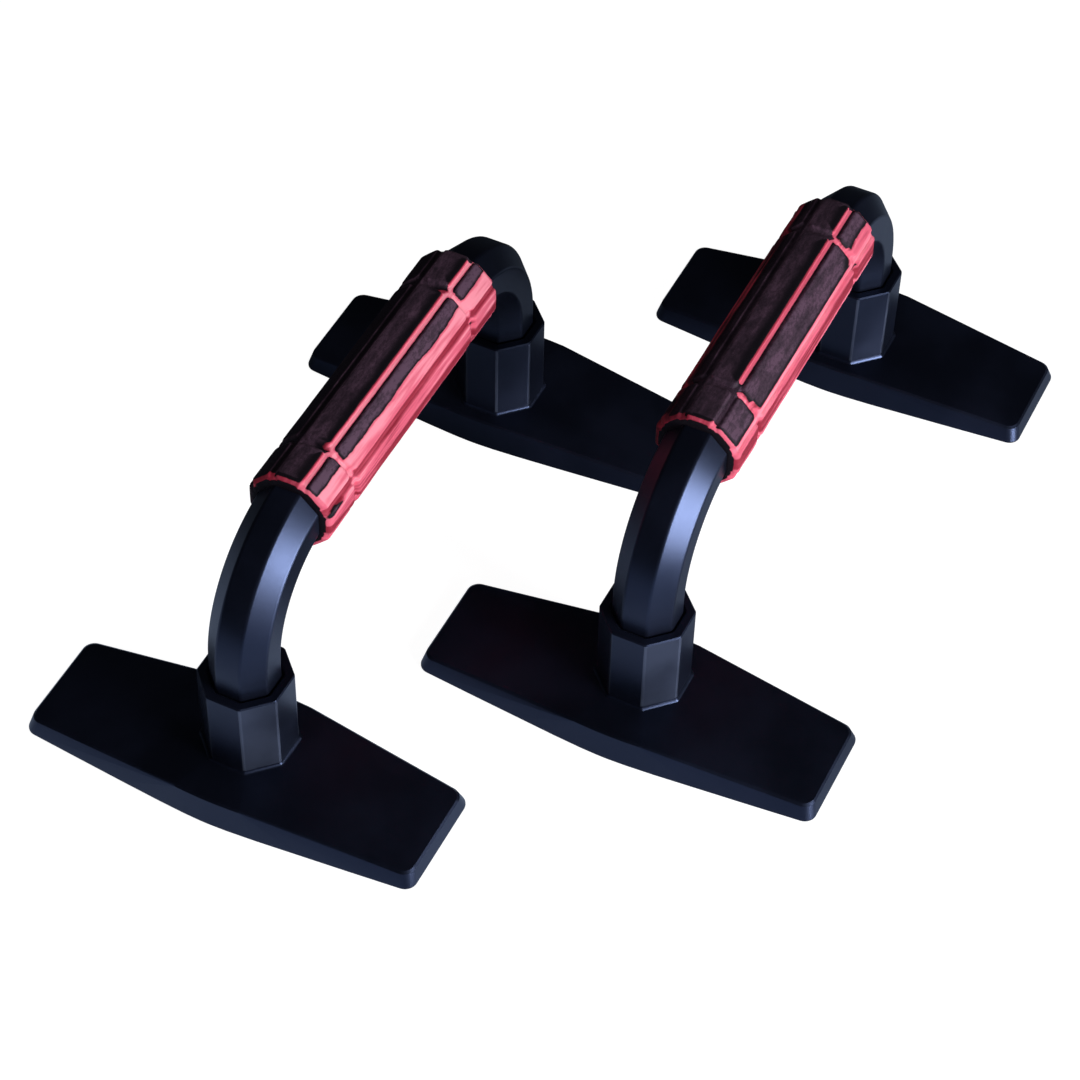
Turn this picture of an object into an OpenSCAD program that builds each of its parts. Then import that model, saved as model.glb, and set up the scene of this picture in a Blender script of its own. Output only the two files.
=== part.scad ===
// A pair of low push-up stands (parallette bars) with an octagonal handle and two pull-off feet each.
// Each handle runs along X, each foot lies across it along Y, and Z is up from the floor.
// Millimetres. The origin is on the floor, in the middle of the pair.

/* [Layout of the pair] */
// Distance across the pair, from one handle's axis to the other's
bar_gap = 121.5; // [110:0.5:220]
// How far one stand is pushed ahead of the other, along the handles
bar_stagger = 97; // [88:1:120]

/* [Handle] */
// Distance between the two feet of one stand, middle line to middle line
foot_spacing = 224; // [218:1:300]
// Height of the handle's axis above the floor
handle_h = 104; // [100:1:150]
// Width of the octagonal tube across its flats
tube_af = 25.5; // [22:0.5:28]
// Wall of the octagonal tube
tube_wall = 3; // [2:0.25:4]
// Width of the small flat that breaks each corner of the tube and the collar
corner_flat = 1.2; // [0.8:0.1:3]
// Radius of the bend, to the middle of the tube
bend_r = 45.5; // [40:0.5:52]
// Outside diameter of the steel core tube inside the grip
core_d = 25; // [20:0.5:26]
// Wall of the core tube
core_wall = 1.2; // [1:0.1:2]
// Length of the core tube
core_len = 104; // [90:1:110]
// Length of the round spigot that each elbow pushes into the core tube
spigot_len = 30; // [15:1:40]
// Bore of the spigot
spigot_bore = 16; // [10:0.5:18]

/* [Grip] */
// Length of the foam grip
grip_len = 138; // [124:1:146]
// Width of the grip across its flats
grip_af = 35; // [34:0.5:42]
// Width of the grooves between the grip's panels
groove_w = 2.6; // [1.5:0.1:4]
// Depth of the grooves, below the flats
groove_depth = 1.3; // [0.6:0.1:2]
// Length of the short panels at each end of the grip
end_panel_len = 20; // [12:1:30]
// Bevel at the grip's two ends
grip_bevel = 1.5; // [0.5:0.1:2.5]

/* [Foot] */
// Length of a foot, across the handle
foot_len = 170; // [160:1:200]
// Width of a foot at the floor, under the handle
foot_mid_w = 62; // [60:1:74]
// Width of a foot at the floor, at its ends
foot_end_w = 48; // [42:1:54]
// Width between the foot's two upper edges, under the handle
shoulder_w = 58; // [50:1:60]
// Height of the upper edges above the floor, under the handle
shoulder_h = 13.25; // [11:0.25:15]
// Height of the foot above the floor at its ends
foot_end_h = 7.75; // [7:0.25:9]
// Rise of the foot's top from its two upper edges to the collar
crown = 0.5; // [0.25:0.25:4]
// Radius of the foot's four corners, seen from above
foot_corner_r = 5; // [3:0.5:8]
// Length over which the middle of the foot's side is rounded
mid_round = 14; // [4:1:24]
// Bevel along the foot's upper edges
foot_bevel = 0.8; // [0.4:0.1:1.5]
// Lean of the foot's end walls, from bottom to top
end_draft = 1.5; // [0.5:0.25:3]
// Thickness of the foot's skin
foot_skin = 2.6; // [2:0.1:3.5]
// Thickness of the ribs under the foot
rib_t = 1.8; // [1.2:0.1:2.5]
// Distance between the ribs that run across the foot
rib_pitch = 15; // [11:0.5:20]

/* [Collar] */
// Height of the collar's rim above the floor
collar_h = 51.5; // [44:0.5:53]
// Distance from the foot's middle line to the collar's, towards the middle of the stand
collar_offset = 5.5; // [0:0.5:7]
// Wall of the collar around the tube
collar_wall = 4.5; // [3:0.1:5.5]
// Play between the tube and its socket, on each side
socket_play = 0.1; // [0.05:0.01:0.2]
// Height above the floor of the seat that the tube stands on
seat_h = 8; // [6:0.5:12]
// Thickness of the seat
seat_t = 3; // [2:0.25:4]
// Lead-in bevel at the mouth of the socket
mouth_bevel = 1.2; // [0.5:0.1:2]
// Width and height of the small flare where the collar meets the foot
flare = 1.2; // [0.5:0.1:2]

/* [Pads] */
// Length of a pad, along the foot
pad_len = 40; // [30:1:44]
// Width of a pad
pad_w = 34; // [24:1:34]
// Thickness of a pad
pad_t = 3; // [2:0.25:4]
// Gap between the floor and the foot's rim, which leaves the pads proud
pad_proud = 1; // [0.5:0.1:1.5]
// Distance from the foot's end to the pad
pad_end_gap = 9; // [8:0.5:14]
// Radius of the pad's corners
pad_corner_r = 4; // [2:0.5:8]
// Play between a pad and the frame around it
pad_play = 0.3; // [0.2:0.1:0.6]
// Wall of the frame around a pad
pad_frame_t = 1.6; // [1.2:0.1:2.4]

/* [Hidden] */

plastic = [0.055, 0.058, 0.075];
foam = [0.45, 0.13, 0.16];
steel = [0.62, 0.63, 0.65];
rubber = [0.09, 0.09, 0.1];

eps = 0.01;
core_fit = 0.05;                          // play between a spigot and the core tube
foam_fit = 0.1;                           // play between the foam and what is inside it
panel_edge = 1.2;                         // small flat at the corners of the grip's section

collar_af = tube_af + 2 * (socket_play + collar_wall);
socket_af = tube_af + 2 * socket_play;
leg_top = handle_h - bend_r;                          // where the leg ends and the bend starts
leg_x = foot_spacing / 2 - collar_offset;             // from the middle of a stand to the middle of a leg
arm_len = leg_x - bend_r - core_len / 2;              // straight arm between the bend and the core tube
core_bore = core_d - 2 * core_wall;
spigot_d = core_bore - 2 * core_fit;
spigot_tip = 1;                                       // length and depth of the lead-in at the spigot's tip
groove_af = grip_af - 2 * groove_depth;
rim_h = pad_proud;                                    // underside of the foot's rim
foot_top_h = shoulder_h + crown;                      // top of the foot around the collar
rim_bevel = 0.5;                                      // bevel around the collar's rim
ledge = 0.6;                                          // narrow flat on the foot, around the flare
pad_y = foot_len / 2 - pad_end_gap - pad_len / 2;
side_steps = 6;                                       // straight pieces in each half of a foot's side
layer = 0.6;                                          // thickness of the levels that shape a foot

// From the width across the flats to the radius at the corners of an octagon
function corner_r(af) = af / 2 / cos(22.5);

// Half width of the foot at the distance y from the handle, from its half widths in the middle and at the ends.
// The two straight tapers meet in a rounded middle.
function half_width(y, mid, end, len) =
    mid - (mid - end) * (sqrt(y * y + mid_round * mid_round) - mid_round)
    / (sqrt(len * len / 4 + mid_round * mid_round) - mid_round);

// Distances along the foot at which its side is drawn, up to reach on each side, closer near the middle
function side_stations(reach) = [for (i = [-side_steps:side_steps]) reach * i * abs(i) / pow(side_steps, 2)];

// Distance from the middle of an octagon to the small flats on its corners
function corner_reach(af, flat) = corner_r(af) - flat / 2 * tan(22.5);

// An octagon with flats on X and Y and a small flat on each corner
module octagon(af, flat = corner_flat) {
    intersection() {
        rotate(22.5) circle(r = corner_r(af), $fn = 8);
        circle(r = corner_r(2 * corner_reach(af, flat)), $fn = 8);
    }
}

// A solid with the octagon as its section at every height. levels lists [height, width across the flats], upwards.
module octagon_column(levels, flat = corner_flat) {
    length = 3 * max([for (level = levels) level[1]]);
    intersection_for(k = [0:7]) rotate(22.5 * k) rotate([90, 0, 0]) linear_extrude(length, center = true) {
        reach = [for (level = levels) k % 2 == 0 ? level[1] / 2 : corner_reach(level[1], flat)];
        polygon(concat([for (i = [0:len(levels) - 1]) [reach[i], levels[i][0]]],
                       [for (i = [len(levels) - 1:-1:0]) [-reach[i], levels[i][0]]]));
    }
}

// A short length of the octagon that narrows from af1 to af2
module octagon_taper(h, af1, af2) {
    linear_extrude(h, scale = af2 / af1) octagon(af1);
}

// Puts its children at one of the two stands
module at_bar(bar) {
    side = bar == "left" ? 1 : -1;
    translate([-side * bar_stagger / 2, side * bar_gap / 2, 0]) children();
}

// Puts its children at one leg of a stand, turned so that +X points to its middle. The front end is at -X.
module at_end(end) {
    rotate(end == "front" ? 0 : 180) translate([-leg_x, 0, 0]) children();
}

// Points its children's Z along the handle, from the start of the straight arm
module along_arm() {
    translate([bend_r, 0, handle_h]) rotate([0, 90, 0]) children();
}

// A quarter turn of the octagon, from the top of the leg to the start of the arm
module elbow_bend(af) {
    translate([bend_r, 0, leg_top]) rotate([90, 0, 0]) rotate(90)
        rotate_extrude(angle = 90, $fn = 96) translate([bend_r, 0]) octagon(af);
}

// The outside of an elbow, grown by grow on every side: leg, bend and arm, as far as the core tube
module elbow_outside(grow = 0) {
    af = tube_af + 2 * grow;
    translate([0, 0, seat_h]) linear_extrude(leg_top - seat_h) octagon(af);
    elbow_bend(af);
    along_arm() linear_extrude(arm_len + grow) octagon(af);
}

// The round spigot that goes into the core tube, with a lead-in at its tip
module spigot() {
    along_arm() {
        cylinder(h = arm_len + spigot_len - spigot_tip, d = spigot_d, $fn = 64);
        translate([0, 0, arm_len + spigot_len - spigot_tip])
            cylinder(h = spigot_tip, d1 = spigot_d, d2 = spigot_d - spigot_tip, $fn = 64);
    }
}

// One elbow: a hollow octagonal leg and bend, with a round spigot for the core tube
module elbow() {
    bore_af = tube_af - 2 * tube_wall;
    color(plastic) difference() {
        union() {
            elbow_outside();
            spigot();
        }
        translate([0, 0, seat_h - eps]) linear_extrude(leg_top - seat_h + eps) octagon(bore_af);
        elbow_bend(bore_af);
        along_arm() {
            linear_extrude(arm_len - tube_wall) octagon(bore_af);
            cylinder(h = arm_len + spigot_len + 1, d = spigot_bore, $fn = 64);
        }
    }
}

// The steel tube that joins the two elbows inside the grip
module core_tube() {
    color(steel) translate([-core_len / 2, 0, handle_h]) rotate([0, 90, 0]) difference() {
        cylinder(h = core_len, d = core_d, $fn = 96);
        translate([0, 0, -1]) cylinder(h = core_len + 2, d = core_bore, $fn = 96);
    }
}

// The foam grip: three rows of eight raised panels over a smaller octagon, bored for the tubes
module grip() {
    color(foam) difference() {
        translate([0, 0, handle_h]) rotate([0, 90, 0]) grip_body();
        translate([-core_len / 2 - 1, 0, handle_h]) rotate([0, 90, 0])
            cylinder(h = core_len + 2, r = core_d / 2 + foam_fit, $fn = 96);
        for (end = ["front", "rear"]) at_end(end) elbow_outside(foam_fit);
    }
}

// The grip without its bore, along Z
module grip_body() {
    middle_len = grip_len - 2 * (end_panel_len + groove_w);
    linear_extrude(grip_len - 2 * grip_bevel, center = true) octagon(groove_af, panel_edge);
    linear_extrude(middle_len, center = true) panel_outline(grip_af);
    for (turn = [0, 180]) rotate([turn, 0, 0]) {
        translate([0, 0, grip_len / 2 - end_panel_len])
            linear_extrude(end_panel_len - grip_bevel) panel_outline(grip_af);
        translate([0, 0, grip_len / 2 - grip_bevel])
            linear_extrude(grip_bevel, scale = (grip_af - 2 * grip_bevel) / grip_af) panel_outline(grip_af);
        translate([0, 0, grip_len / 2 - grip_bevel])
            octagon_taper(grip_bevel, groove_af, groove_af - grip_bevel);
    }
}

// One row's outline: the octagon with a groove at each corner
module panel_outline(af) {
    difference() {
        octagon(af, panel_edge);
        for (k = [0:7]) rotate(22.5 + 45 * k)
            translate([corner_r(groove_af) - panel_edge, -groove_w / 2]) square([groove_depth * 3, groove_w]);
    }
}

// One side of the foot at one level, as far as reach on each side of the handle
module foot_band(mid, end, reach) {
    s = side_stations(reach);
    side = [for (y = s) [half_width(y, mid, end, foot_len), y]];
    far_side = [for (i = [len(s) - 1:-1:0]) [-side[i].x, side[i].y]];
    polygon(concat(side, far_side));
}

// The foot's whole outline at one level, with rounded corners
module foot_outline(mid, end, reach, corner) {
    offset(r = corner, $fn = 32) offset(delta = -corner) foot_band(mid, end, reach);
}

// The foot's body without its collar, moved in by inset on its sides, its ends and its top.
// X is measured from the foot's middle line.
module foot_body(inset = 0) {
    mid = foot_mid_w / 2 - inset;
    end = foot_end_w / 2 - inset;
    reach = foot_len / 2 - inset;
    shoulder = shoulder_w / 2 - inset;
    corner = max(foot_corner_r - inset, 1.5);
    hull() {
        translate([0, 0, rim_h - (inset > 0 ? layer : 0)])
            linear_extrude(layer) foot_outline(mid, end, reach, corner);
        for (step = [0, foot_bevel]) {
            translate([0, 0, foot_end_h - inset - foot_bevel + step - layer]) linear_extrude(layer)
                foot_outline(end - end_draft - step, end - end_draft - step, reach - end_draft - step, corner);
            translate([0, 0, shoulder_h - inset - foot_bevel + step - layer]) linear_extrude(layer)
                foot_band(shoulder - step, end - end_draft - step, mid_round);
        }
        translate([collar_offset, 0, foot_top_h - inset - layer]) linear_extrude(layer)
            octagon(collar_af + 2 * (flare + ledge));
    }
}

// Walls under the foot: ribs along and across it, and a frame around each pad
module foot_ribs() {
    translate([0, 0, rim_h]) linear_extrude(foot_top_h) {
        for (x = [-1, 1] * collar_af / 4)
            translate([collar_offset + x - rib_t / 2, -foot_len / 2]) square([rib_t, foot_len]);
        for (i = [1:floor((foot_len / 2 - foot_skin) / rib_pitch)], side = [-1, 1])
            translate([-foot_mid_w / 2, side * i * rib_pitch - rib_t / 2]) square([foot_mid_w, rib_t]);
        translate([-foot_mid_w / 2, -rib_t / 2]) square([foot_mid_w, rib_t]);
        for (side = [-1, 1]) translate([0, side * pad_y]) difference() {
            pad_outline(pad_play + pad_frame_t);
            pad_outline(pad_play);
        }
    }
}

// Outside of the collar: it runs down inside the foot, spreads to a small flare on top of it, and has a bevelled rim
module collar_outside() {
    octagon_column([[rim_h, collar_af], [foot_top_h - flare, collar_af], [foot_top_h - flare, collar_af + 2 * flare],
                    [foot_top_h, collar_af + 2 * flare], [foot_top_h + flare, collar_af],
                    [collar_h - rim_bevel, collar_af], [collar_h, collar_af - 2 * rim_bevel]]);
}

// The socket for the tube, open at the top and closed by its seat, and the hollow below the seat
module socket_hollow() {
    octagon_column([[seat_h, socket_af], [collar_h - mouth_bevel, socket_af],
                    [collar_h, socket_af + 2 * mouth_bevel], [collar_h + 1, socket_af + 2 * mouth_bevel]]);
    translate([0, 0, -1]) linear_extrude(seat_h - seat_t + 1) octagon(tube_af - 2 * tube_wall);
}

// One foot: a ribbed shell with the octagonal collar that holds the tube
module foot() {
    color(plastic) difference() {
        union() {
            translate([-collar_offset, 0, 0]) {
                difference() {
                    foot_body();
                    foot_body(foot_skin);
                }
                intersection() {
                    foot_body(foot_skin / 2);
                    foot_ribs();
                }
            }
            collar_outside();
        }
        socket_hollow();
        for (side = [-1, 1]) translate([-collar_offset, side * pad_y, -1])
            linear_extrude(pad_t + 1) pad_outline(pad_play);
    }
}

// The outline of a pad, grown by grow
module pad_outline(grow = 0) {
    x = pad_w / 2 - pad_corner_r;
    y = pad_len / 2 - pad_corner_r;
    square([pad_w + 2 * grow, 2 * y], center = true);
    square([2 * x, pad_len + 2 * grow], center = true);
    for (sx = [-1, 1], sy = [-1, 1]) translate([sx * x, sy * y]) circle(r = pad_corner_r + grow, $fn = 48);
}

// One rubber pad, glued to the ribs inside its frame. sign is 1 at the foot's +Y end.
module pad(end, sign) {
    color(rubber) translate([(end == "front" ? -1 : 1) * foot_spacing / 2, sign * pad_y, 0])
        linear_extrude(pad_t) pad_outline();
}

for (bar = ["left", "right"]) {
    outward = bar == "left" ? 1 : -1;
    at_bar(bar) grip();
    at_bar(bar) core_tube();
    for (end = ["front", "rear"]) {
        name = str(bar, "_", end);
        at_bar(bar) at_end(end) elbow();
        at_bar(bar) at_end(end) foot();
        at_bar(bar) pad(end, outward);
        at_bar(bar) pad(end, -outward);
    }
}
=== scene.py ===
import math

import bmesh
import bpy
from mathutils import Matrix, Vector, noise
from mathutils.bvhtree import BVHTree


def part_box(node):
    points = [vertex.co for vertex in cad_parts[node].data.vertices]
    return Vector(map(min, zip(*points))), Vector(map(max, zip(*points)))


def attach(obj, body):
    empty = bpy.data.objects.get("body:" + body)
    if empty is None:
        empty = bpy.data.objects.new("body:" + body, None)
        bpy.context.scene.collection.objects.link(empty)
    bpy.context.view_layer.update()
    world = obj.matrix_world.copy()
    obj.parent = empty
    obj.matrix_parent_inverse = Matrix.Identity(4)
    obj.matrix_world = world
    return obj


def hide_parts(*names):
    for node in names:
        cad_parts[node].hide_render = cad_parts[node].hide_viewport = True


# A pair of push-up stands: moulded plastic legs and feet, foam grips in red and black, rubber pads.
# Metres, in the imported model's own frame. The handles run along X, the feet along Y, and Z is up.

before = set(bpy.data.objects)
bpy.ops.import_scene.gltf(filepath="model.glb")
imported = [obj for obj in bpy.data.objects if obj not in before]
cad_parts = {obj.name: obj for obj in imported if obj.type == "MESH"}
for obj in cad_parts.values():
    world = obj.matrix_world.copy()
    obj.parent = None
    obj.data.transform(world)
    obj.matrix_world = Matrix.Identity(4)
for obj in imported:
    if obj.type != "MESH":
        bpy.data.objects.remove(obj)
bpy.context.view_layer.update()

mm = 0.001
bars = ["left", "right"]
ends = ["front", "rear"]
padSides = ["outer", "inner"]
flats = 8                          # round the tube, and columns of panels round the grip
flatTurn = math.pi / 4             # from one of them to the next
weld = 0.004 * mm                  # corners of a CAD node's triangles that are nearer than this are one

# The camera stands where the photograph was taken

camera = {
    "place": (-0.7705, -0.3468, 0.9495),
    "turn": (41.706, -1.033, -63.832),     # degrees about X, Y and Z
    "lens": 102.7,
    "sensor": 36,                          # mm wide
    "sees": (0.05, 20),                    # from and to, in metres
}


def placeCamera():
    data = bpy.data.cameras.new("camera")
    data.lens = camera["lens"]
    data.sensor_width = camera["sensor"]
    data.clip_start, data.clip_end = camera["sees"]
    eye = bpy.data.objects.new("camera", data)
    bpy.context.scene.collection.objects.link(eye)
    eye.location = camera["place"]
    eye.rotation_euler = [math.radians(a) for a in camera["turn"]]
    bpy.context.scene.camera = eye


# Small helpers for building node materials


def startMaterial(name):
    material = bpy.data.materials.new(name)
    material.use_nodes = True
    tree = material.node_tree
    tree.nodes.clear()
    output = tree.nodes.new("ShaderNodeOutputMaterial")
    shader = tree.nodes.new("ShaderNodeBsdfPrincipled")
    tree.links.new(shader.outputs["BSDF"], output.inputs["Surface"])
    return material, tree, shader


# Object coordinates, stretched by scale along X, Y and Z
def objectPlace(tree, scale=(1, 1, 1)):
    place = tree.nodes.new("ShaderNodeTexCoord")
    mapping = tree.nodes.new("ShaderNodeMapping")
    mapping.inputs["Scale"].default_value = scale
    tree.links.new(place.outputs["Object"], mapping.inputs["Vector"])
    return mapping.outputs["Vector"]


# Noise from 0 to 1 with so many blobs per metre
def noiseAt(tree, place, scale, detail=3, roughness=0.5):
    texture = tree.nodes.new("ShaderNodeTexNoise")
    texture.inputs["Scale"].default_value = scale
    texture.inputs["Detail"].default_value = detail
    texture.inputs["Roughness"].default_value = roughness
    tree.links.new(place, texture.inputs["Vector"])
    return texture.outputs["Fac"]


# Carries the span from low to high over to the one from newLow to newHigh, with soft ends
def remap(tree, value, low, high, newLow=0.0, newHigh=1.0):
    node = tree.nodes.new("ShaderNodeMapRange")
    node.interpolation_type = "SMOOTHSTEP"
    tree.links.new(value, node.inputs["Value"])
    spans = {"From Min": low, "From Max": high, "To Min": newLow, "To Max": newHigh}
    for socket, number in spans.items():
        node.inputs[socket].default_value = number
    return node.outputs["Result"]


# One step of arithmetic, on sockets or numbers
def combine(tree, operation, a, b):
    node = tree.nodes.new("ShaderNodeMath")
    node.operation = operation
    for i, term in enumerate([a, b]):
        if isinstance(term, (int, float)):
            node.inputs[i].default_value = term
        else:
            tree.links.new(term, node.inputs[i])
    return node.outputs["Value"]


# The first colour where amount is 0 and the second where it is 1. Each is a tuple or a socket
def mixColours(tree, amount, first, second):
    node = tree.nodes.new("ShaderNodeMix")
    node.data_type = "RGBA"
    tree.links.new(amount, node.inputs[0])
    for socket, colour in zip([node.inputs[6], node.inputs[7]], [first, second]):
        if isinstance(colour, tuple):
            socket.default_value = (*colour, 1)
        else:
            tree.links.new(colour, socket)
    return node.outputs[2]


def attributeOf(tree, name):
    node = tree.nodes.new("ShaderNodeAttribute")
    node.attribute_name = name
    return node.outputs["Fac"]


# Each layer is (height socket, strength, distance), from the coarsest to the finest
def addBump(tree, shader, layers):
    last = None
    for height, strength, distance in layers:
        bump = tree.nodes.new("ShaderNodeBump")
        bump.inputs["Strength"].default_value = strength
        bump.inputs["Distance"].default_value = distance
        tree.links.new(height, bump.inputs["Height"])
        if last is not None:
            tree.links.new(last, bump.inputs["Normal"])
        last = bump.outputs["Normal"]
    tree.links.new(last, shader.inputs["Normal"])


# Materials. A span is the part of a noise's values that is spread out, and a bump is (strength, distance)

plastic = {
    "colour": (0.0018, 0.0022, 0.0046),
    "paleColour": (0.0034, 0.0041, 0.0088),      # in the faint clouds of the moulding
    "highlightColour": (0.054, 0.065, 0.098),         # painted highlight along the rounded edges, brightest towards the key lamp, and on one collar flat of the front feet
    "tint": (0.44, 0.56, 1.0, 1.0),              # of the reflections
    "roughness": (0.33, 0.43),
    "clouds": 28,                                # per metre
    "cloudSpan": (0.35, 0.7),
    "cloudShare": 0.6,                           # of the roughness; the grain makes the rest
    "cloudBump": (0.05, 0.4 * mm),
    "grain": 0.35 * mm,
    "grainBump": (0.16, 0.05 * mm),
    "highlightSpan": (0.3, 0.65),                      # of the clouds, for how evenly the painted highlight lies along the edges
    "highlightLeast": 0.35,
}


def satinPlastic():
    material, tree, shader = startMaterial("satinPlastic")
    place = objectPlace(tree)
    clouds = noiseAt(tree, place, plastic["clouds"], detail=4)
    grain = noiseAt(tree, place, 1 / plastic["grain"], detail=2)
    pale = remap(tree, clouds, *plastic["cloudSpan"])
    body = mixColours(tree, pale, plastic["colour"], plastic["paleColour"])
    # Painted highlight: an attribute of the feet makes their edges, and one collar flat, paler towards a
    # blue-grey
    uneven = remap(tree, clouds, *plastic["highlightSpan"], plastic["highlightLeast"], 1.0)
    highlight = combine(tree, "MULTIPLY", attributeOf(tree, "paintedHighlight"), uneven)
    tree.links.new(mixColours(tree, highlight, body, plastic["highlightColour"]), shader.inputs["Base Color"])
    coarse = combine(tree, "MULTIPLY", clouds, plastic["cloudShare"])
    fine = combine(tree, "MULTIPLY", grain, 1 - plastic["cloudShare"])
    dull = remap(tree, combine(tree, "ADD", coarse, fine), *plastic["cloudSpan"], *plastic["roughness"])
    tree.links.new(dull, shader.inputs["Roughness"])
    shader.inputs["Specular Tint"].default_value = plastic["tint"]
    addBump(tree, shader, [(clouds, *plastic["cloudBump"]), (grain, *plastic["grainBump"])])
    return material


foam = {
    # Painted light in the reds: salmon is a painted highlight on ridges and on the side towards the key
    # lamp, deep red is partly the foam's own darker red and partly painted shade in grooves and furrows, and
    # black beyond it is painted shade
    "salmonHighlight": (0.95, 0.300, 0.375),
    "pink": (0.76, 0.122, 0.195),
    "deepRed": (0.30, 0.018, 0.040),
    "black": (0.0050, 0.0030, 0.0060),
    "purple": (0.092, 0.047, 0.078),             # where the skin is worn and the red shows through
    "toPink": (0.0, 0.42),                       # tones over which the salmon of the painted highlight turns to pink
    "toDeepRed": (0.40, 0.95),
    "toBlack": (1.0, 1.7),
    "skinEdge": (0.44, 0.56),
    "streaks": 420,                              # per metre round the grip
    "streakStretch": (0.22, 1, 1),
    "streakWear": (0.35, 0.65, 0.70, 1.15),      # span of the streaks, and the wear at its two ends
    "streakBump": (0.25, 0.3 * mm),
    "ragged": 0.30,                              # by which the streaks shift the tones and the skin's edge
    "fleck": 1.1 * mm,
    "fleckStretch": (0.6, 1, 1),
    "fleckWear": (0.36, 0.64, 0.55, 1.08),
    "fleckBump": (0.20, 0.2 * mm),
    "pore": 0.55 * mm,
    "poreDull": (0.3, 0.7, 0.62, 0.84),          # span of the pores, and the roughness at its two ends
    "poreBump": (0.35, 0.12 * mm),
    "gloss": 0.12,
}


def foamRubber():
    material, tree, shader = startMaterial("foamRubber")
    fleckPlace = objectPlace(tree, foam["fleckStretch"])
    streakPlace = objectPlace(tree, foam["streakStretch"])
    flecks = noiseAt(tree, fleckPlace, 1 / foam["fleck"], detail=4, roughness=0.68)
    streaks = noiseAt(tree, streakPlace, foam["streaks"], detail=4, roughness=0.6)
    pores = noiseAt(tree, objectPlace(tree), 1 / foam["pore"], detail=3, roughness=0.7)
    ragged = combine(tree, "MULTIPLY", combine(tree, "SUBTRACT", streaks, 0.5), foam["ragged"])
    # The tone attribute carries the foam's reds with painted highlight and painted shade in them
    tone = combine(tree, "ADD", attributeOf(tree, "toneAndShading"), ragged)
    red = mixColours(tree, remap(tree, tone, *foam["toPink"]), foam["salmonHighlight"], foam["pink"])
    red = mixColours(tree, remap(tree, tone, *foam["toDeepRed"]), red, foam["deepRed"])
    red = mixColours(tree, remap(tree, tone, *foam["toBlack"]), red, foam["black"])
    lines = combine(tree, "MULTIPLY", remap(tree, streaks, *foam["streakWear"]),
                    remap(tree, flecks, *foam["fleckWear"]))
    worn = combine(tree, "MULTIPLY", attributeOf(tree, "worn"), lines)
    black = mixColours(tree, worn, foam["black"], foam["purple"])
    skin = remap(tree, combine(tree, "ADD", attributeOf(tree, "skin"), ragged), *foam["skinEdge"])
    tree.links.new(mixColours(tree, skin, red, black), shader.inputs["Base Color"])
    tree.links.new(remap(tree, pores, *foam["poreDull"]), shader.inputs["Roughness"])
    shader.inputs["Specular IOR Level"].default_value = foam["gloss"]
    addBump(tree, shader, [(streaks, *foam["streakBump"]), (flecks, *foam["fleckBump"]),
                           (pores, *foam["poreBump"])])
    return material


padFinish = {
    "colour": (0.018, 0.018, 0.019),
    "dustyColour": (0.032, 0.031, 0.031),
    "dust": 60,                                  # specks per metre
    "dustSpan": (0.4, 0.75),
    "grain": 2200,                               # per metre
    "grainDull": (0.3, 0.7, 0.66, 0.86),         # span of the grain, and the roughness at its two ends
    "grainBump": (0.3, 0.06 * mm),
}


def padRubber():
    material, tree, shader = startMaterial("padRubber")
    place = objectPlace(tree)
    dust = noiseAt(tree, place, padFinish["dust"], detail=5)
    grain = noiseAt(tree, place, padFinish["grain"], detail=2)
    dusty = remap(tree, dust, *padFinish["dustSpan"])
    colour = mixColours(tree, dusty, padFinish["colour"], padFinish["dustyColour"])
    tree.links.new(colour, shader.inputs["Base Color"])
    tree.links.new(remap(tree, grain, *padFinish["grainDull"]), shader.inputs["Roughness"])
    addBump(tree, shader, [(grain, *padFinish["grainBump"])])
    return material


tubeFinish = {
    "colour": (0.42, 0.43, 0.45),
    "brightColour": (0.60, 0.61, 0.63),
    "lines": 900,                                # drawing marks per metre round the tube
    "lineStretch": (0.05, 1, 1),
    "lineDull": (0.3, 0.7, 0.25, 0.42),          # span of the lines, and the roughness at its two ends
    "lineBump": (0.2, 0.04 * mm),
}


def drawnSteel():
    material, tree, shader = startMaterial("drawnSteel")
    lines = noiseAt(tree, objectPlace(tree, tubeFinish["lineStretch"]), tubeFinish["lines"], detail=3)
    colour = mixColours(tree, lines, tubeFinish["colour"], tubeFinish["brightColour"])
    tree.links.new(colour, shader.inputs["Base Color"])
    tree.links.new(remap(tree, lines, *tubeFinish["lineDull"]), shader.inputs["Roughness"])
    shader.inputs["Metallic"].default_value = 1.0
    addBump(tree, shader, [(lines, *tubeFinish["lineBump"])])
    return material


# Pieces


# Makes the mesh an object that rides on a body and stands for a node of the frame.
# Edges that turn by less than smooth, in degrees, are shaded as one surface
def finishPiece(name, bm, material, body, node, smooth=35):
    data = bpy.data.meshes.new(name)
    bm.to_mesh(data)
    bm.free()
    data.shade_smooth()
    data.set_sharp_from_angle(angle=math.radians(smooth))
    data.materials.append(material)
    piece = bpy.data.objects.new(name, data)
    bpy.context.scene.collection.objects.link(piece)
    even = piece.modifiers.new("evenShading", "WEIGHTED_NORMAL")
    even.keep_sharp = True
    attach(piece, body)
    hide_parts(node)
    return piece


# A CAD node's loose triangles as one closed mesh, with a single face on each flat
def mergedCopy(name, flatAngle):
    bm = bmesh.new()
    bm.from_mesh(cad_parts[name].data)
    bmesh.ops.remove_doubles(bm, verts=bm.verts, dist=weld)
    bmesh.ops.dissolve_degenerate(bm, dist=weld, edges=bm.edges)
    bmesh.ops.dissolve_limit(bm, angle_limit=math.radians(flatAngle), use_dissolve_boundaries=False,
                             verts=bm.verts, edges=bm.edges)
    return bm


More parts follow.
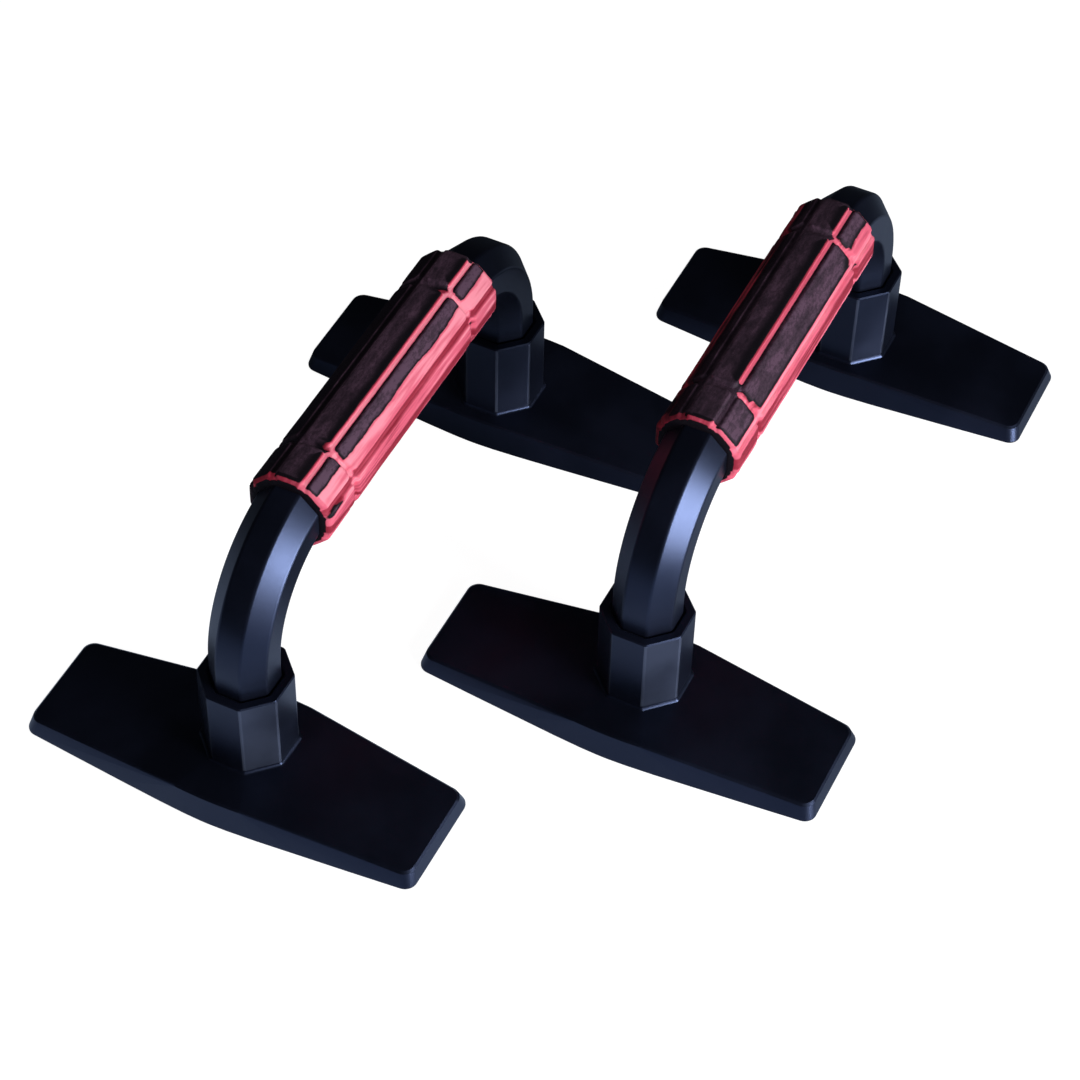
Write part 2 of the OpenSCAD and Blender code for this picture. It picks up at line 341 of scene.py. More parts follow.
elbow = {
    "wall": 3 * mm,
    "cornerRound": 0.9 * mm,       # cut back along each flat at the rounded corners
    "bendRadius": 45.5 * mm,
    "seat": 8 * mm,                # height of the leg's lower end
    "armEnd": 52 * mm,             # from the middle of the stand to the shoulder of the spigot
    "spigotEnd": 22 * mm,          # from the middle of the stand too
    "spigotRadius": 11.25 * mm,
    "boreRadius": 8 * mm,
    "bendSteps": 28,
}


def elbowPiece(bar, end, material):
    name = f"{bar}_{end}_elbow"
    low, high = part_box(name)
    acrossFlats = high.y - low.y
    middleY = (low.y + high.y) / 2
    standX = sum(corner.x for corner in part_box(f"{bar}_grip")) / 2
    legX = low.x + acrossFlats / 2 if end == "front" else high.x - acrossFlats / 2
    handleZ = high.z - acrossFlats / 2
    bendZ = handleZ - elbow["bendRadius"]
    reach = abs(legX - standX)

    # The tube's ring-shaped section lies flat at the leg's lower end
    bm = bmesh.new()
    bmesh.ops.create_circle(bm, cap_ends=True, segments=flats,
                            radius=acrossFlats / 2 / math.cos(flatTurn / 2))
    bmesh.ops.rotate(bm, verts=bm.verts, cent=(0, 0, 0), matrix=Matrix.Rotation(flatTurn / 2, 3, "Z"))
    bmesh.ops.bevel(bm, geom=list(bm.verts), affect="VERTICES", offset=elbow["cornerRound"], segments=3,
                    profile=0.5, material=-1)
    bmesh.ops.inset_individual(bm, faces=list(bm.faces), thickness=elbow["wall"], use_even_offset=True)
    bmesh.ops.delete(bm, geom=[f for f in bm.faces if len(f.verts) > 4], context="FACES_ONLY")
    bmesh.ops.translate(bm, verts=bm.verts, vec=(0, 0, elbow["seat"]))
    ring = list(bm.faces)

    def pulled(faces, step):
        made = bmesh.ops.extrude_face_region(bm, geom=faces)["geom"]
        points = [g for g in made if isinstance(g, bmesh.types.BMVert)]
        bmesh.ops.translate(bm, verts=points, vec=step)
        return [g for g in made if isinstance(g, bmesh.types.BMFace)], points

    # It is drawn up the leg, round the bend and along the arm to the shoulder
    ring, points = pulled(ring, (0, 0, bendZ - elbow["seat"]))
    edges = [e for e in bm.edges if all(v in points for v in e.verts)]
    turned = bmesh.ops.spin(bm, geom=ring + edges + points, cent=(elbow["bendRadius"], 0, bendZ),
                            axis=(0, 1, 0), angle=math.pi / 2, steps=elbow["bendSteps"],
                            use_duplicate=False)["geom_last"]
    ring = [g for g in turned if isinstance(g, bmesh.types.BMFace)]
    ring, points = pulled(ring, (reach - elbow["bendRadius"] - elbow["armEnd"], 0, 0))

    # At the shoulder it turns into the round spigot
    ring, points = pulled(ring, (0, 0, 0))
    axis = Vector((points[0].co.x, 0, handleZ))
    for v in points:
        spoke = v.co - axis
        outside = spoke.length > acrossFlats / 2 - elbow["wall"] / 2
        v.co = axis + spoke.normalized() * (elbow["spigotRadius"] if outside else elbow["boreRadius"])
    pulled(ring, (elbow["armEnd"] - elbow["spigotEnd"], 0, 0))
    bmesh.ops.recalc_face_normals(bm, faces=bm.faces)
    turn = Matrix.Rotation(0 if end == "front" else math.pi, 4, "Z")
    bmesh.ops.transform(bm, matrix=Matrix.Translation((legX, middleY, 0)) @ turn, verts=bm.verts)
    return finishPiece(f"{name}_moulded", bm, material, f"{bar}_handle", name)


foot = {
    "cornerRound": 0.7 * mm,
    "flatAngle": 0.6,              # degrees between faces that are taken as one flat
    "edgeAngle": 24,               # degrees between faces that make an edge to round
    "lookFrom": 0.02 * mm,         # off an edge, where it is seen whether another wall lies before it
    "glintWidth": 1.8 * mm,         # the collar's corner flats, narrower than this, get the painted highlight
    "collarBase": 15 * mm,         # height above which a face belongs to the collar
    "upright": 0.1,                # most that an upright face's normal points up or down
    "edgeGlint": 0.3,                # painted highlight on every edge, and 1 where it faces the key lamp
    "keyLampSide": (-0.38, -0.92, 0),
    "collarSheen": {"front": 0.5, "rear": 0.0},      # painted reflection on the collar's upright flat that faces the direction below, on the front feet only
    "sheenSide": (-0.707, -0.707, 0),
    "facing": 0.95,                # least that such a flat's normal points there
}


def footPiece(bar, end, material):
    name = f"{bar}_{end}_foot"
    bm = mergedCopy(name, foot["flatAngle"])
    highlightLayer = bm.faces.layers.float.new("paintedHighlight")

    # Only the edges outside are rounded, and not the ones under the shell or in the socket
    walls = BVHTree.FromBMesh(bm)
    rounded = []
    for e in bm.edges:
        sharp = len(e.link_faces) == 2 and e.calc_face_angle(0) >= math.radians(foot["edgeAngle"])
        if not sharp or not e.is_convex:
            continue
        middle = (e.verts[0].co + e.verts[1].co) / 2
        outwards = (e.link_faces[0].normal + e.link_faces[1].normal).normalized()
        if walls.ray_cast(middle + outwards * foot["lookFrom"], outwards)[0] is None:
            rounded.append(e)
    made = bmesh.ops.bevel(bm, geom=rounded, affect="EDGES", offset=foot["cornerRound"], segments=3,
                           profile=0.5, material=-1, clamp_overlap=True)

    # Painted highlight: the rounded edges and the collar's narrow corner flats are made pale, most where
    # they face the key lamp
    for face in made["faces"]:
        face[highlightLayer] = foot["edgeGlint"]
    for face in bm.faces:
        upright = abs(face.normal.z) < foot["upright"] and face.calc_center_median().z > foot["collarBase"]
        if upright and face.calc_area() / max(e.calc_length() for e in face.edges) < foot["glintWidth"]:
            face[highlightLayer] = foot["edgeGlint"]
        if face[highlightLayer] > 0:
            face[highlightLayer] += (1 - foot["edgeGlint"]) * max(face.normal.dot(Vector(foot["keyLampSide"])), 0)
        # Painted reflection: on the front feet, the collar's upright flat facing that way is made paler, as
        # if it mirrored a lamp
        elif upright and face.normal.dot(Vector(foot["sheenSide"])) > foot["facing"]:
            face[highlightLayer] = foot["collarSheen"][end]
    return finishPiece(f"{name}_moulded", bm, material, f"{bar}_{end}_foot", name)


pad = {
    "edgeRound": 0.45 * mm,
    "flatAngle": 1,                # degrees between faces that are taken as one flat
    "edgeAngle": 60,               # degrees between faces that make an edge to round
}


def padPiece(bar, end, side, material):
    name = f"{bar}_{end}_{side}_pad"
    bm = mergedCopy(name, pad["flatAngle"])
    edges = [e for e in bm.edges if e.calc_face_angle(0) > math.radians(pad["edgeAngle"])]
    bmesh.ops.bevel(bm, geom=edges, affect="EDGES", offset=pad["edgeRound"], segments=2, profile=0.5,
                    material=-1)
    return finishPiece(f"{name}_rubber", bm, material, f"{bar}_{end}_foot", name)


grip = {
    "groove": 2.6 * mm,            # between the feet of two panels' edges
    "depth": 1.6 * mm,             # of the grooves
    "grooveRound": 0.3 * mm,       # by which their floor is cut rounder than the octagon's corners
    "edge": 1.2 * mm,              # over which a panel's edge rounds down
    "cornerRound": 2.4 * mm,
    "crossing": 0.8 * mm,          # to each side of a panel's corner, where groove and ring share the place
    "crown": 0.30 * mm,            # by which a panel's corners lie lower than its middle
    "endPanel": 20 * mm,
    "endRound": 2.4 * mm,
    "boreGap": 0.1 * mm,           # between the tube and the foam's bore
    "wobble": 0.16 * mm,           # of the soft surface
    "wobbles": 90,                 # per metre
    "furrow": 0.35 * mm,           # depth of the bare foam's lengthwise furrows
    "around": 240,
    "along": 220,
    "rollSteps": 5,                # of the rounded ends
    "faceShares": (0.3, 0.65, 1.0),      # rings of the end face, from the outside in to the bore
    "boreSteps": 16,
    "merge": 0.002 * mm,           # of the mesh's two seams
}

# What both grips' black skin and bare foam have in common. Frequencies are per metre, and tones are
# 0 for the salmon of the painted highlight, about 1 for deep red, partly the foam's own and partly painted
# shade, and more for black, which is painted shade
coat = {
    "fade": 2.6 * mm,              # over which the skin thickens from its edge inwards
    "back": -0.85 * mm,            # by which it stays back from one wall of each groove, and from the rings
    "rimWidth": 1.2 * mm,          # always bare
    "rimEdge": (3.2 * mm, 1.8 * mm),     # from the end, where a ring's bareness gives way to the rim's
    "plainRim": (5 * mm, 2 * mm),  # from the end, where the foam loses its furrows
    "bareSpan": (0.35, 0.65),      # of the bareness, over which the skin leaves a groove
    "over": 8,                     # mm by which it covers a groove that isn't bare
    "blackFade": 12,               # mm over which a groove turns black
    "waves": 160,                  # of the skin's edge
    "panelWave": 0.3,              # mm of that where the skin ends on a panel
    "grooveWave": 0.1,
    "patchWave": 0.4,
    "bareWave": 0.2,               # of the bareness
    "drifts": 26,                  # slower shifts of the skin's edge where it ends on a panel
    "drift": 0.17,                 # as a share of half the panel's width
    "streaks": (22, 330),          # along the foam and across it
    # The streaks' tone paints shade into the furrows that they cut, and a painted highlight onto the ridges
    # between
    "streakTone": 0.40,
    "grooveCalm": 0.6,             # by which the streaks fade in a groove
    "rimStreaks": 0.3,             # share of them that is left at a rim
    "fringe": 1.1 * mm,            # beside the skin's edge, where the foam is a deeper red
    "fringeTone": 0.40,
    "bandTone": 0.55,
    "bandCore": 0.6,               # share of a band's width that has its full tone
    "bandRagged": 0.1,
    "grooveEdge": (-0.2 * mm, 0.9 * mm),     # in from a panel's edge, where the groove's tone gives way
    "rollTone": 0.35,              # least tone where the end rounds over, painted shade that keeps the salmon highlight off it
    "mostTone": 1.6,
    "endBlack": 1.5 * mm,          # down the rounded end, from where it is painted black as shade, like the end face
    "clouds": (55, 120),           # of the wear, along the skin and across it
    "cloudSpan": (-0.45, 0.45),
    "cloudLeast": 0.5,             # wear left between the clouds
    "wearStart": 0.3,              # share of the margin at which the wear begins
    "panelGlint": 1.0,                 # painted highlight in a line along the panels' edges
    "panelGlintLine": (0.2 * mm, 0.7 * mm, 1.3 * mm),      # its start, middle and end, in from the edge
    "panelGlintDepth": 1.2 * mm,       # in from the skin's edge, from where the painted highlight is full
    "panelGlintLeast": 0.35,
    "columnStep": 0.31,            # between two columns' places in the noise, which look unrelated so
}

# How the black skin covers each grip. The eight columns of panels start on top and go round towards -Y.
# panels: how far across each column the skin reaches (-1 to 1 is from edge to edge) and from which side.
# grooves, rings, rims and rearRims: how bare the foam is after each column, across it, and at both ends.
# depths and grooveDepths: the bare foam's tone on each column, and in the groove after it, lighter as
# painted highlight towards the key lamp and darker as painted shade away from it and down most grooves.
# lap: how far in mm the skin runs down the other wall of each groove.
# worn and margins: how purple the skin is on each column, and how far in from its edge that starts, in mm.
# patches: small black or bare spots as (column, x in mm, place across, length and width in mm, 1 for black).
# bands: a deeper red lengthwise band as (place across, half width), by column.
# blackFrom: place in mm along each groove from which it is black, towards the front.
# seed: moves the noise, so that the two grips differ
# Painted shade: the grooves after columns 5 to 7, on the side away from the key lamp, are covered black or
# given a near-black tone
skins = {
    "left": {
        "panels": [(9, 1), (-0.02, 1), (-9, 1), (-0.2, -1), (9, 1), (9, 1), (9, 1), (9, 1)],
        "grooves": [1.0, 1.0, 1.0, 1.0, 1.0, 0.0, 0.0, 0.0],
        "rings": [0.1, 1.0, 1.0, 1.0, 1.0, 0.0, 0.0, 0.0],
        "rims": [1.0, 1.0, 1.0, 1.0, 1.0, 1.0, 0.0, 1.0],
        "rearRims": [0.0, 0.9, 1.0, 1.0, 1.0, 1.0, 0.0, 0.0],
        "depths": [0.80, 0.10, 0.42, 0.5, 0.5, 0.5, 0.5, 1.25],
        "grooveDepths": [0.12, 0.85, 0.6, 0.6, 0.6, 0.6, 0.7, 0.8],
        "lap": 0.7,
        "worn": [0.75, 1.6, 0.8, 0.6, 0.4, 0.4, 0.3, 0.05],
        "margins": [5.0, 1.4, 1.5, 2.0, 3.0, 3.0, 3.0, 3.0],
        "patches": [(2, -64, -0.68, 9, 2.6, 1), (2, 47, -0.5, 3, 1.6, 1), (0, -46.5, 0.8, 3, 6, 0),
                    (0, 46.5, 0.8, 3, 6, 0)],
        "bands": {2: (0.35, 0.35)},
        "blackFrom": {},
        "seed": 0.7,
    },
    "right": {
        "panels": [(9, 1), (0.85, 1), (-9, 1), (-0.1, -1), (9, 1), (9, 1), (0.5, 1), (0.05, -1)],
        "grooves": [0.95, 1.0, 1.0, 1.0, 1.0, 0.0, 1.0, 0.0],
        "rings": [0.0, 0.9, 1.0, 1.0, 1.0, 0.0, 1.0, 0.0],
        "rims": [1.0, 1.0, 1.0, 1.0, 1.0, 1.0, 1.0, 1.0],
        "rearRims": [0.0, 0.9, 1.0, 1.0, 1.0, 1.0, 0.0, 0.0],
        "depths": [0.80, 0.35, 0.40, 0.5, 0.5, 0.5, 1.45, 1.40],
        "grooveDepths": [0.40, 0.18, 0.6, 0.6, 0.6, 0.6, 1.3, 1.35],
        "lap": 1.25,
        "worn": [0.62, 1.2, 0.8, 0.6, 0.4, 0.4, 0.5, 0.2],
        "margins": [6.0, 1.8, 1.5, 2.0, 3.0, 3.0, 3.0, 3.0],
        "patches": [(1, 60, 0.70, 34, 8.5, 0), (2, 48, -0.7, 4, 1.6, 1), (1, -60, 0.9, 6, 2.2, 0),
                    (7, -60, -0.6, 8, 5.0, 1)],
        "bands": {2: (-0.05, 0.55)},
        "blackFrom": {0: -38},
        "seed": 3.3,
    },
}


def smoothed(value, low, high):
    t = min(max((value - low) / (high - low), 0), 1)
    return t * t * (3 - 2 * t)


# Cloudy noise from about -1 to 1
def cloudy(point, roughness=0.7, octaves=3):
    return noise.fractal(Vector(point), roughness, 2.0, octaves)


# Where a place of the outside lies in its panel: how far it is in from the panel's edge (negative in a
# groove), and from 0 to 1 how much the nearest groove is a lengthwise one and not a ring
def panelPlace(form, across, x):
    halfPanel = form["halfLength"] - grip["endPanel"] - grip["groove"]
    endMiddle = form["halfLength"] - grip["endPanel"] / 2
    middleRow = abs(x) <= halfPanel + grip["groove"] / 2
    alongMiddle, alongHalf = (0, halfPanel) if middleRow else (endMiddle, grip["endPanel"] / 2)
    past = abs(abs(x) - alongMiddle) - alongHalf
    beside = abs(across) - (form["faceHalf"] - grip["groove"] / 2)
    dx, dy = past + grip["cornerRound"], beside + grip["cornerRound"]
    depthIn = grip["cornerRound"] - math.hypot(max(dx, 0), max(dy, 0)) - min(max(dx, dy), 0)
    return depthIn, smoothed(beside - past, -grip["crossing"], grip["crossing"])


# How deep a place of the outside lies under the black skin, in metres from the skin's edge
def skinDepth(form, column, across, x, depthIn, lengthwise, waves):
    skin = form["skin"]
    halfLength, faceHalf = form["halfLength"], form["faceHalf"]
    share = across / faceHalf
    after = column if across > 0 else (column - 1) % flats

    # Where the skin ends on the panel
    limit, side = skin["panels"][column]
    drift = coat["drift"] * cloudy((x * coat["drifts"], column * 7.3, 2.0))
    cover = (limit + drift - side * share) * faceHalf + waves * coat["panelWave"] * mm

    # Where it ends at the grooves, the rings and the rims
    groove = skin["grooves"][after]
    if after in skin["blackFrom"]:
        start = skin["blackFrom"][after]
        groove *= smoothed(x, (start - coat["blackFade"]) * mm, start * mm)
    bare = skin["rings"][column] + (groove - skin["rings"][column]) * lengthwise
    rimStart, rimEnd = coat["rimEdge"]
    rim = smoothed(abs(x), halfLength - rimStart, halfLength - rimEnd)
    bare += (skin["rims" if x < 0 else "rearRims"][column] - bare) * rim
    hidden = 1 - smoothed(bare + waves * coat["bareWave"], *coat["bareSpan"])
    lap = skin["lap"] * mm * lengthwise if across < 0 else coat["back"]
    edge = min(depthIn + lap, halfLength - coat["rimWidth"] - abs(x))
    edge = edge + hidden * coat["over"] * mm + waves * coat["grooveWave"] * mm

    depth = min(cover, edge)
    for where, middle, place, long, wide, black in skin["patches"]:
        if where == column:
            off = math.hypot((x - middle * mm) / long, (share - place) * faceHalf / wide) / mm
            inside = (1 - 2 * off) * wide / 2 * mm + waves * coat["patchWave"] * mm
            depth = max(depth, inside) if black else min(depth, -inside)
    return depth


# The bare foam's tone, with its painted highlight and shade but without its streaks, and how much the place
# lies in a lengthwise groove
def foamTone(form, column, across, depthIn, lengthwise, streaks):
    skin = form["skin"]
    tone = skin["depths"][column]
    if column in skin["bands"]:
        middle, half = skin["bands"][column]
        off = abs(across / form["faceHalf"] - middle) + coat["bandRagged"] * streaks
        tone += coat["bandTone"] * (1 - smoothed(off, coat["bandCore"] * half, half))
    inGroove = lengthwise * (1 - smoothed(depthIn, *coat["grooveEdge"]))
    tone += (skin["grooveDepths"][column if across > 0 else column - 1] - tone) * inGroove
    return tone, inGroove


# How worn the black skin is, from 0 for black to 1 and more for purple, with a painted highlight along the
# panels' edges
def skinWear(form, column, place, depthIn, depth, waves):
    skin = form["skin"]
    along, across = coat["clouds"]
    cloud = smoothed(cloudy((place.x * along, place.y * across, 5.0)), *coat["cloudSpan"])
    margin = skin["margins"][column] * mm
    wavy = depth + waves * coat["panelWave"] * mm
    worn = skin["worn"][column] * smoothed(wavy, coat["wearStart"] * margin, margin)
    worn *= coat["cloudLeast"] + (1 - coat["cloudLeast"]) * cloud
    # Painted highlight: a pale line along each panel's edge, as if the edge caught the light
    start, middle, end = coat["panelGlintLine"]
    line = smoothed(depthIn, start, middle) * (1 - smoothed(depthIn, middle, end))
    panelGlint = coat["panelGlint"] * line * smoothed(depth, 0, coat["panelGlintDepth"])
    return max(worn, panelGlint * (coat["panelGlintLeast"] + (1 - coat["panelGlintLeast"]) * cloud))


# Distance from the axis at one place of the outside, and the values there that the foam's colours read
def gripSurface(form, column, lean, x):
    halfWidth, halfLength = form["halfWidth"], form["halfLength"]
    across = halfWidth * math.tan(lean)
    share = across / form["faceHalf"]
    place = Vector((x, column * coat["columnStep"] + across, form["skin"]["seed"]))
    depthIn, lengthwise = panelPlace(form, across, x)

    # The panels with their rounded edges, and the grooves between them
    rise = min(max(depthIn / grip["edge"], 0), 1)
    height = math.sqrt(1 - (1 - rise) ** 2)
    soft = abs(grip["wobble"] * noise.noise(place * grip["wobbles"])) * height
    flat = halfWidth - grip["depth"] * (1 - height) - grip["crown"] * share * share * height - soft
    reach = flat / math.cos(lean)
    if depthIn < 0:
        corner = (halfWidth - grip["depth"]) / math.cos(flatTurn / 2)
        reach = min(reach, corner - grip["grooveRound"])

    # The skin over them, and the bare foam's reds, with painted highlight and shade, and its furrows
    waves = cloudy(place * coat["waves"], roughness=0.6, octaves=4)
    depth = skinDepth(form, column, across, x, depthIn, lengthwise, waves)
    covered = min(max(0.5 + depth / coat["fade"], 0), 1)
    alongStreaks, acrossStreaks = coat["streaks"]
    streaks = cloudy((x * alongStreaks, place.y * acrossStreaks, place.z), roughness=0.5)
    tone, inGroove = foamTone(form, column, across, depthIn, lengthwise, streaks)
    plainStart, plainEnd = coat["plainRim"]
    inside = 1 - smoothed(abs(x), halfLength - plainStart, halfLength - plainEnd)
    fringe = smoothed(depth, -coat["fringe"], 0) * coat["fringeTone"]
    calm = (1 - coat["grooveCalm"] * inGroove) * (coat["rimStreaks"] + (1 - coat["rimStreaks"]) * inside)
    # Painted shade: the tone darkens where the streaks cut furrows, and it lightens between them as painted
    # highlight
    tone += coat["streakTone"] * streaks * calm + fringe * inside
    reach -= grip["furrow"] * max(streaks, 0) * height * (1 - covered) * inside
    worn = skinWear(form, column, place, depthIn, depth, waves)
    return reach, {"skin": covered, "toneAndShading": min(max(tone, 0), coat["mostTone"]), "worn": worn}


# The mesh's rings, along the outside, over the rear end, back through the bore and over the front end:
# (x, share of the way from the outside in to the bore, distance that the rounded end has rolled down)
def gripRings(halfLength):
    straight = halfLength - grip["endRound"]
    outside = [(straight * (2 * i / grip["along"] - 1), 0, 0) for i in range(grip["along"] + 1)]
    turns = [math.pi / 2 * k / grip["rollSteps"] for k in range(1, grip["rollSteps"] + 1)]
    roll = [(straight + grip["endRound"] * math.sin(a), 0, grip["endRound"] * (1 - math.cos(a)))
            for a in turns]
    face = [(halfLength, share, grip["endRound"]) for share in grip["faceShares"]]
    bore = [(halfLength * (1 - 2 * i / grip["boreSteps"]), 1.0, 0) for i in range(1, grip["boreSteps"])]
    back = [(-x, share, down) for x, share, down in reversed(roll + face)]
    return outside + roll + face + bore + back


def gripPiece(bar, material):
    name = f"{bar}_grip"
    low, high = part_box(name)
    centre = (low + high) / 2
    halfWidth = (high.z - low.z) / 2
    halfLength = (high.x - low.x) / 2
    form = {"skin": skins[bar], "halfWidth": halfWidth, "halfLength": halfLength,
            "faceHalf": halfWidth * math.tan(flatTurn / 2)}
    elbowLow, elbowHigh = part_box(f"{bar}_front_elbow")
    halfTube = (elbowHigh.y - elbowLow.y) / 2
    bendStart = centre.x - elbowLow.x - halfTube - elbow["bendRadius"]

    # A grid is bent into the closed sleeve, and its two seams are merged
    rings = gripRings(halfLength)
    rows, columns = len(rings), grip["around"]
    bm = bmesh.new()
    layers = {key: bm.verts.layers.float.new(key) for key in ["skin", "toneAndShading", "worn"]}
    bmesh.ops.create_grid(bm, x_segments=rows, y_segments=columns, size=0.5)
    for v in bm.verts:
        x, share, down = rings[round((v.co.x + 0.5) * rows) % rows]
        angle = 2 * math.pi * (round((v.co.y + 0.5) * columns) % columns) / columns
        nearest = round(angle / flatTurn)
        lean = angle - nearest * flatTurn
        reach, looks = gripSurface(form, nearest % flats, lean, x)
        boreReach = (halfTube + grip["boreGap"]) / math.cos(lean)
        reach = (reach - down) * (1 - share) + boreReach * share
        # Painted shade: the end faces, with the bore inside, and the lower part of each rounded end are
        # black, and the rest of the roll is kept darker
        if share > 0 or down > coat["endBlack"]:
            looks = {"skin": 1.0, "toneAndShading": 1.0, "worn": 0.0}
        elif down > 0:
            looks["toneAndShading"] = max(looks["toneAndShading"], coat["rollTone"])
        for key, layer in layers.items():
            v[layer] = looks[key]
        sink = 0.0                 # of the bore, where the tube inside has begun to bend
        if share > 0 and abs(x) > bendStart:
            past = abs(x) - bendStart
            sink = share * (elbow["bendRadius"] - math.sqrt(elbow["bendRadius"] ** 2 - past ** 2))
        v.co = centre + Vector((x, -math.sin(angle) * reach, math.cos(angle) * reach - sink))
    bmesh.ops.remove_doubles(bm, verts=bm.verts, dist=grip["merge"])
    bmesh.ops.recalc_face_normals(bm, faces=bm.faces)
    piece = finishPiece(f"{bar}_foam_grip", bm, material, f"{bar}_handle", name, smooth=60)
    return piece


# The floor, the backdrop and the lamps

studio = {
    "target": (0, 0, 0.05),        # that the lamps face
    "mirrored": ["shine"],         # lamps that only glossy surfaces see; they don't see the others
    "ambient": 0.16,
    "ceiling": 0.005,              # what glossy surfaces see overhead
    "horizon": (-0.02, 0.10),      # heights between which the pale surroundings end, for glossy surfaces
    "horizonGlow": 0.04,
    "floorHalf": 4,
    "floorColour": (0.8, 0.8, 0.8, 1),     # as the light that falls on things meets it
    "floorShade": (0.30, 0.30, 0.30),      # as the camera sees it lit, which leaves the shadows
    "floorGlow": 0.92,             # and its own light, on top of that
    "floorTint": (0.60, 0.74, 1.0),        # as glossy surfaces see it
    "floorDim": 0.7,
    "floorMirrored": 0.35,         # and its own light there
    "floorPatches": [              # where they see it bright: centre, stretch, reach and share
        ((-0.32, 0.06, 0), (1.3, 0.4, 1), (0.22, 0.50), 1.0),
        ((0.14, -0.30, 0), (1, 1, 1), (0.12, 0.45), 0.6),
    ],
    "floorRest": 0.04,             # and how bright elsewhere
}

# Each is (place, size, watts, colour)
lamps = {
    "key": ((-0.42, -1.05, 0.42), (0.40, 0.60), 15.0, (0.94, 0.96, 1.0)),
    "shine": ((-0.20, -1.05, 0.28), (0.50, 0.50), 35.0, (0.90, 0.94, 1.0)),
    "front": ((-1.35, 0.15, 0.75), (0.9, 0.7), 1.5, (1.0, 1.0, 1.0)),
    "top": ((0.10, 0.25, 1.30), (1.2, 1.2), 3.0, (1.0, 1.0, 1.0)),
}


# 1 for the camera's own rays and for mirrored and refracted ones, and 0 for the light that falls on things
def seenDirectly(tree):
    rays = tree.nodes.new("ShaderNodeLightPath")
    total = combine(tree, "ADD", rays.outputs["Is Camera Ray"], rays.outputs["Is Glossy Ray"])
    total = combine(tree, "ADD", total, rays.outputs["Is Transmission Ray"])
    return combine(tree, "MINIMUM", total, 1.0), rays.outputs["Is Camera Ray"]


def makeFloor():
    bm = bmesh.new()
    bmesh.ops.create_grid(bm, x_segments=8, y_segments=8, size=studio["floorHalf"])
    data = bpy.data.meshes.new("floor")
    bm.to_mesh(data)
    bm.free()
    floor = bpy.data.objects.new("floor", data)
    bpy.context.scene.collection.objects.link(floor)
    material = bpy.data.materials.new("paleFloor")
    material.use_nodes = True
    tree = material.node_tree
    tree.nodes.clear()
    output = tree.nodes.new("ShaderNodeOutputMaterial")
    matte = tree.nodes.new("ShaderNodeBsdfDiffuse")
    matte.inputs["Color"].default_value = studio["floorColour"]
    pale = tree.nodes.new("ShaderNodeBsdfDiffuse")
    glow = tree.nodes.new("ShaderNodeEmission")
    both = tree.nodes.new("ShaderNodeAddShader")
    choose = tree.nodes.new("ShaderNodeMixShader")
    seen, cameraRay = seenDirectly(tree)
    fade = cameraRay
    for centre, stretch, (near, far), share in studio["floorPatches"]:
        distance = tree.nodes.new("ShaderNodeVectorMath")
        distance.operation = "DISTANCE"
        tree.links.new(objectPlace(tree, stretch), distance.inputs[0])
        distance.inputs[1].default_value = [c * s for c, s in zip(centre, stretch)]
        patch = remap(tree, distance.outputs["Value"], near, far, share, studio["floorRest"])
        fade = combine(tree, "MAXIMUM", fade, patch)
    strength = remap(tree, cameraRay, 0, 1, studio["floorMirrored"], studio["floorGlow"])
    tree.links.new(combine(tree, "MULTIPLY", fade, strength), glow.inputs["Strength"])
    tree.links.new(mixColours(tree, cameraRay, studio["floorTint"], (1.0, 1.0, 1.0)), glow.inputs["Color"])
    bright = tuple(studio["floorDim"] * part for part in studio["floorTint"])
    dim = mixColours(tree, fade, (0.0, 0.0, 0.0), bright)
    tree.links.new(mixColours(tree, cameraRay, dim, studio["floorShade"]), pale.inputs["Color"])
    tree.links.new(pale.outputs["BSDF"], both.inputs[0])
    tree.links.new(glow.outputs["Emission"], both.inputs[1])
    tree.links.new(seen, choose.inputs["Fac"])
    tree.links.new(matte.outputs["BSDF"], choose.inputs[1])
    tree.links.new(both.outputs["Shader"], choose.inputs[2])
    tree.links.new(choose.outputs["Shader"], output.inputs["Surface"])
    data.materials.append(material)


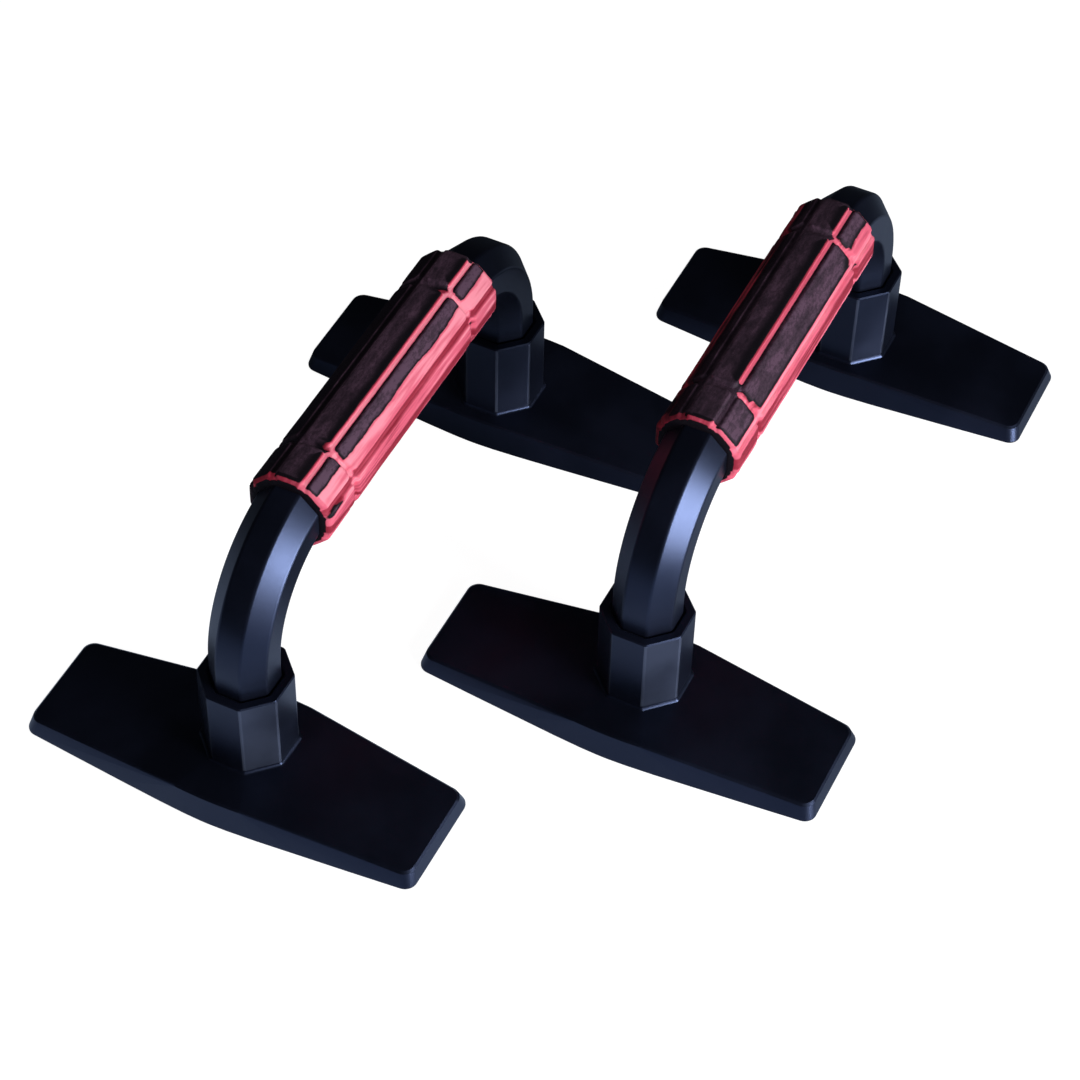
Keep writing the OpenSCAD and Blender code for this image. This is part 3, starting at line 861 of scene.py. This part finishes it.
def makeWorld():
    world = bpy.data.worlds.new("studio")
    bpy.context.scene.world = world
    world.use_nodes = True
    tree = world.node_tree
    tree.nodes.clear()
    output = tree.nodes.new("ShaderNodeOutputWorld")
    background = tree.nodes.new("ShaderNodeBackground")
    background.inputs["Color"].default_value = (1.0, 1.0, 1.0, 1)
    seen, cameraRay = seenDirectly(tree)
    place = tree.nodes.new("ShaderNodeTexCoord")
    split = tree.nodes.new("ShaderNodeSeparateXYZ")
    tree.links.new(place.outputs["Generated"], split.inputs["Vector"])
    sweep = remap(tree, split.outputs["Z"], *studio["horizon"], studio["horizonGlow"], studio["ceiling"])
    mirrored = combine(tree, "MAXIMUM", sweep, cameraRay)
    shown = combine(tree, "MULTIPLY", mirrored, seen)
    falling = combine(tree, "MULTIPLY", combine(tree, "SUBTRACT", 1.0, seen), studio["ambient"])
    tree.links.new(combine(tree, "ADD", shown, falling), background.inputs["Strength"])
    tree.links.new(background.outputs["Background"], output.inputs["Surface"])


def makeLamps():
    for name, (place, size, watts, colour) in lamps.items():
        data = bpy.data.lights.new(f"{name}_softbox", "AREA")
        data.shape = "RECTANGLE"
        data.size, data.size_y = size
        data.energy = watts
        data.color = colour
        light = bpy.data.objects.new(f"{name}_softbox", data)
        bpy.context.scene.collection.objects.link(light)
        light.location = place
        aim = Vector(studio["target"]) - light.location
        light.rotation_euler = aim.to_track_quat("-Z", "Y").to_euler()
        mirrored = name in studio["mirrored"]
        light.visible_camera = False
        light.visible_glossy = mirrored
        light.visible_diffuse = not mirrored


placeCamera()
makeFloor()
makeWorld()
makeLamps()
bpy.context.scene.view_settings.view_transform = "Standard"
print("studio ready")

blackPlastic = satinPlastic()
gripFoam = foamRubber()
rubber = padRubber()
steel = drawnSteel()
print("materials ready")

for bar in bars:
    gripPiece(bar, gripFoam)
    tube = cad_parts[f"{bar}_core_tube"]
    tube.data.materials.clear()
    tube.data.materials.append(steel)
    for end in ends:
        elbowPiece(bar, end, blackPlastic)
        footPiece(bar, end, blackPlastic)
        for side in padSides:
            padPiece(bar, end, side, rubber)
    print(bar, "stand made")
